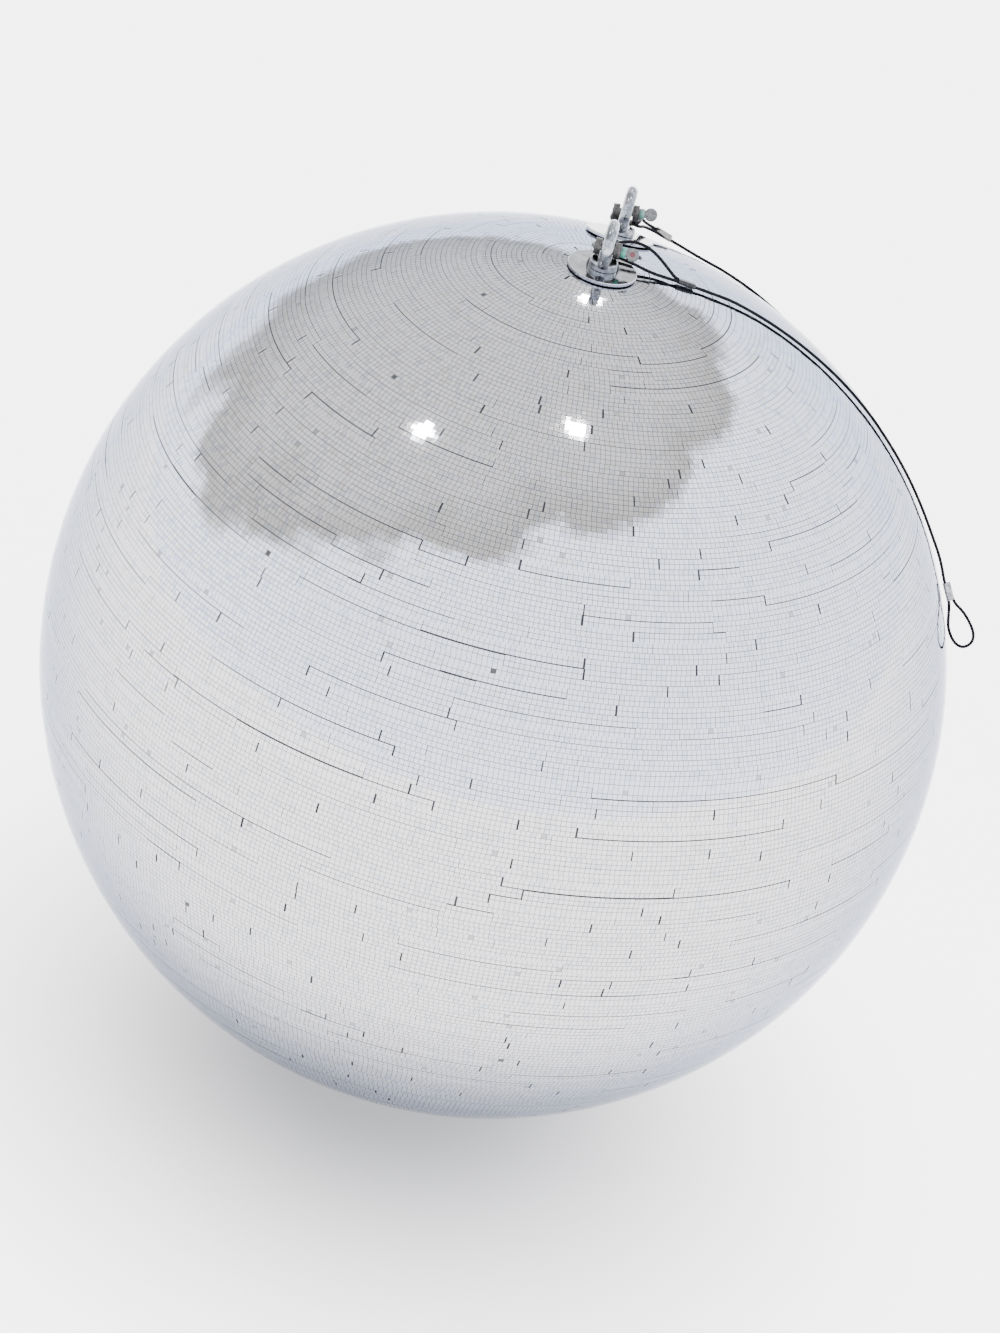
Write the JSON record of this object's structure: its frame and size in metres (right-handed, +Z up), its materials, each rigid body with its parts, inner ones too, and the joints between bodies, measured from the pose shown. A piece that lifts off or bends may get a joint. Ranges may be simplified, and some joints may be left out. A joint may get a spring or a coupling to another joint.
{
  "type": "mirror ball",
  "caption": "Large mirror ball of small square mirror tiles, hung by a ring eye on a polished disc, with a second safety eye and wire safety ropes on bow shackles.",
  "frame": {"origin": "centre of the main suspension eye's hole", "axes": "+Z up the ball's axis out of the main eye, +X along the main eye's hole towards the shackle pins' tabs, +Y towards the safety eye"},
  "size_m": [0.9999, 1, 1.0689],
  "materials": {
    "mirror_tile": "small square flat mirror glass tiles laid in strips, narrow dark joints",
    "shell": "moulded glass fibre, unseen",
    "frame_steel": "primed mild steel, unseen",
    "polished_disc": "polished",
    "galvanised": "zinc plated, slightly dull",
    "fastener": "zinc plated",
    "shackle": "galvanised, dull",
    "shackle_pin": "galvanised, worn green paint on the collar and a plain red dot on the main pin's tab",
    "rope": "thin steel wire rope under black plastic",
    "ferrule": "pressed, dull"
  },
  "bodies": {
    "ball": {"mirror_tiles_upper": "mirror_tile", "mirror_tiles_lower": "mirror_tile", "shell_upper": "shell", "shell_lower": "shell", "joint_band": "shell", "top_plate": "frame_steel", "bottom_plate": "frame_steel", "safety_plate": "frame_steel", "centre_tube": "frame_steel", "top_plug": "frame_steel", "bottom_plug": "frame_steel", "main_disc": "polished_disc", "safety_disc": "polished_disc", "bottom_disc": "polished_disc", "main_eye_bolt": "galvanised", "safety_eye_bolt": "galvanised", "safety_washer": "fastener", "safety_nut": "fastener", "bottom_washer": "fastener", "bottom_bolt": "fastener", "main_rope": "rope", "main_far_ferrule": "ferrule", "safety_rope": "rope", "safety_far_ferrule": "ferrule"},
    "main_shackle": {"main_shackle_bow": "shackle", "main_rope_eye": "rope", "main_near_ferrule": "ferrule"},
    "main_pin": {"main_shackle_pin": "shackle_pin"},
    "safety_shackle": {"safety_shackle_bow": "shackle", "safety_rope_eye": "rope", "safety_near_ferrule": "ferrule"},
    "safety_pin": {"safety_shackle_pin": "shackle_pin"}
  },
  "joints": [
    {"name": "main_shackle_swing", "type": "hinge", "parent": "ball", "child": "main_shackle", "pos_m": [0, 0.00757, -0.00757], "axis": [1, 0, 0], "range_deg": [0, 45]},
    {"name": "main_pin_turn", "type": "hinge", "parent": "main_shackle", "child": "main_pin", "pos_m": [0, 0.00757, -0.00757], "axis": [1, 0, 0], "range_deg": [0, 360]},
    {"name": "safety_shackle_swing", "type": "hinge", "parent": "ball", "child": "safety_shackle", "pos_m": [0.00883, 0.14126, -0.02299], "axis": [0.9876, 0.0435, 0.1509], "range_deg": [0, 45]},
    {"name": "safety_pin_turn", "type": "hinge", "parent": "safety_shackle", "child": "safety_pin", "pos_m": [0.00883, 0.14126, -0.02299], "axis": [0.9876, 0.0435, 0.1509], "range_deg": [0, 360]}
  ]
}
